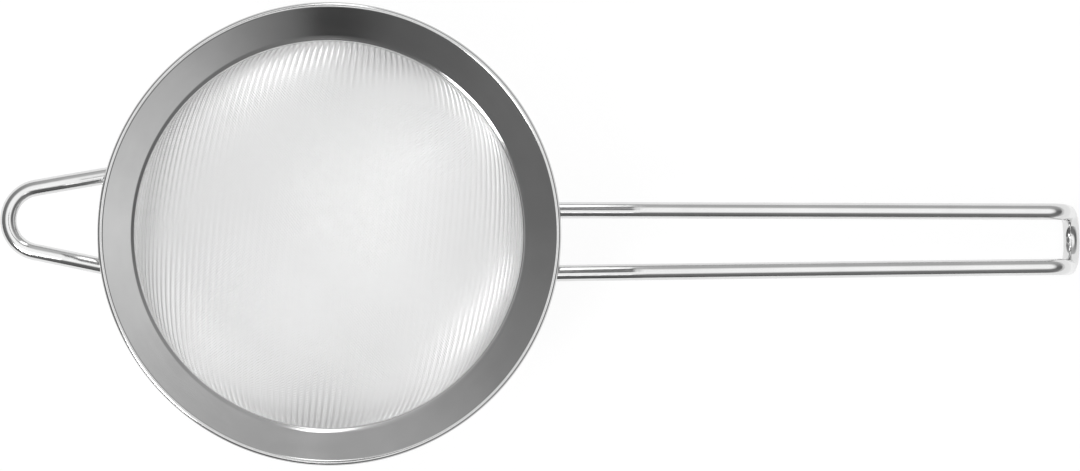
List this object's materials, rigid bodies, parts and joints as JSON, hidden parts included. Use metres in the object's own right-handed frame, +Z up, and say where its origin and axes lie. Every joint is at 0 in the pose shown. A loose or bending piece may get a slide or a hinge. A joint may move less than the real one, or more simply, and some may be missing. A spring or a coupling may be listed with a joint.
{
  "type": "bowl strainer",
  "caption": "Stainless steel bowl strainer: polished conical rim with a curled edge, woven wire bowl, hairpin wire handle with a turned-down end, and a wire rest hook.",
  "frame": {"origin": "on the table, under the middle of the whole strainer as it lies on its bowl and its handle's turned-down end", "axes": "+X along the handle away from the bowl, +Z up from the table"},
  "size_m": [0.3266, 0.14, 0.0635],
  "materials": {
    "band": "polished sheet",
    "wire": "polished drawn wire",
    "cloth": "bright woven wire",
    "weld": "dull weld metal"
  },
  "bodies": {
    "root": {"rim_band": "band", "cloth_ring": "band", "handle": "wire", "rest_hook": "wire", "handle_weld_left": "weld", "handle_weld_right": "weld", "hook_weld_left": "weld", "hook_weld_right": "weld", "warp_wire_01": "cloth", "warp_wire_02": "cloth", "warp_wire_03": "cloth", "warp_wire_04": "cloth", "warp_wire_05": "cloth", "warp_wire_06": "cloth", "warp_wire_07": "cloth", "warp_wire_08": "cloth", "warp_wire_09": "cloth", "warp_wire_10": "cloth", "warp_wire_11": "cloth", "warp_wire_12": "cloth", "warp_wire_13": "cloth", "warp_wire_14": "cloth", "warp_wire_15": "cloth", "warp_wire_16": "cloth", "warp_wire_17": "cloth", "warp_wire_18": "cloth", "warp_wire_19": "cloth", "warp_wire_20": "cloth", "warp_wire_21": "cloth", "warp_wire_22": "cloth", "warp_wire_23": "cloth", "warp_wire_24": "cloth", "warp_wire_25": "cloth", "weft_wire_01": "cloth", "weft_wire_02": "cloth", "weft_wire_03": "cloth", "weft_wire_04": "cloth", "weft_wire_05": "cloth", "weft_wire_06": "cloth", "weft_wire_07": "cloth", "weft_wire_08": "cloth", "weft_wire_09": "cloth", "weft_wire_10": "cloth", "weft_wire_11": "cloth", "weft_wire_12": "cloth", "weft_wire_13": "cloth", "weft_wire_14": "cloth", "weft_wire_15": "cloth", "weft_wire_16": "cloth", "weft_wire_17": "cloth", "weft_wire_18": "cloth", "weft_wire_19": "cloth", "weft_wire_20": "cloth", "weft_wire_21": "cloth", "weft_wire_22": "cloth", "weft_wire_23": "cloth", "weft_wire_24": "cloth", "weft_wire_25": "cloth"}
  },
  "joints": []
}
